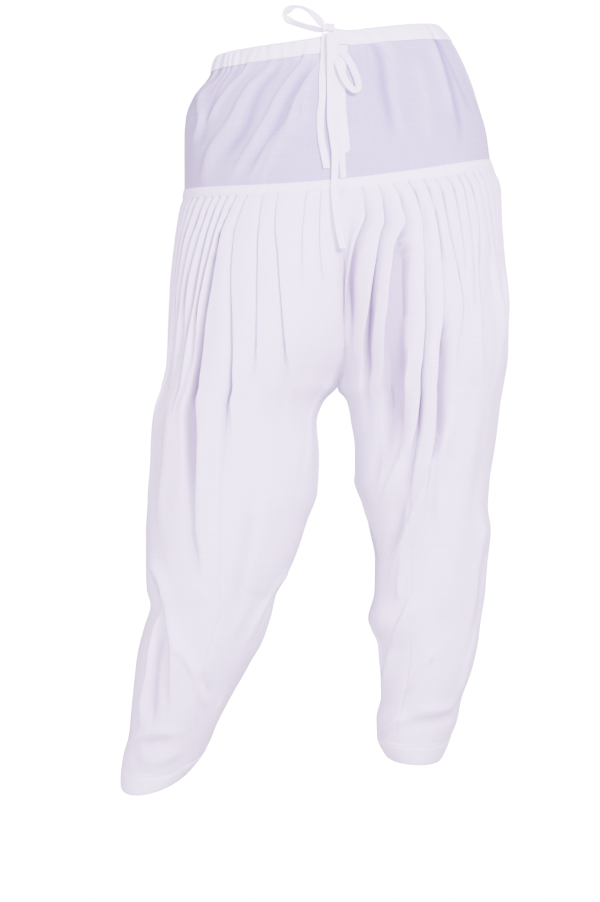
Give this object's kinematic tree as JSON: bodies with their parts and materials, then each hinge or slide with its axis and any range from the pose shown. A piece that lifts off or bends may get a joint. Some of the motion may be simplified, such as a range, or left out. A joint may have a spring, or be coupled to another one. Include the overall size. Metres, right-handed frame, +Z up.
{
  "type": "salwar",
  "caption": "Loose cotton salwar as worn, hollow: plain yoke, pleated legs narrowing to faced hems, drawstring tied in a bow at the front",
  "frame": {"origin": "centre of the waist ring, level with its top edge at the middle", "axes": "+Z up, front faces -Y, the wearer's left is +X"},
  "size_m": [0.5053, 0.3161, 1.0066],
  "materials": {
    "yoke_cotton": "single layer of thin white cotton, slightly see-through",
    "leg_cotton": "plain woven white cotton, matt",
    "double_cotton": "white cotton folded double and stitched",
    "tape_cotton": "flat white cotton tape"
  },
  "bodies": {
    "root": {"waist_casing": "double_cotton", "yoke_front_right": "yoke_cotton", "yoke_front_left": "yoke_cotton", "yoke_back": "yoke_cotton", "placket": "double_cotton", "hip_band": "double_cotton", "kali_front_right": "leg_cotton", "kali_back_right": "leg_cotton", "leg_panel_right": "leg_cotton", "kali_front_left": "leg_cotton", "kali_back_left": "leg_cotton", "leg_panel_left": "leg_cotton", "hem_band_right": "double_cotton", "hem_band_left": "double_cotton", "drawstring_knot": "tape_cotton", "drawstring_loop_right": "tape_cotton", "drawstring_loop_left": "tape_cotton", "drawstring_end_long": "tape_cotton", "drawstring_end_short": "tape_cotton"}
  },
  "joints": []
}
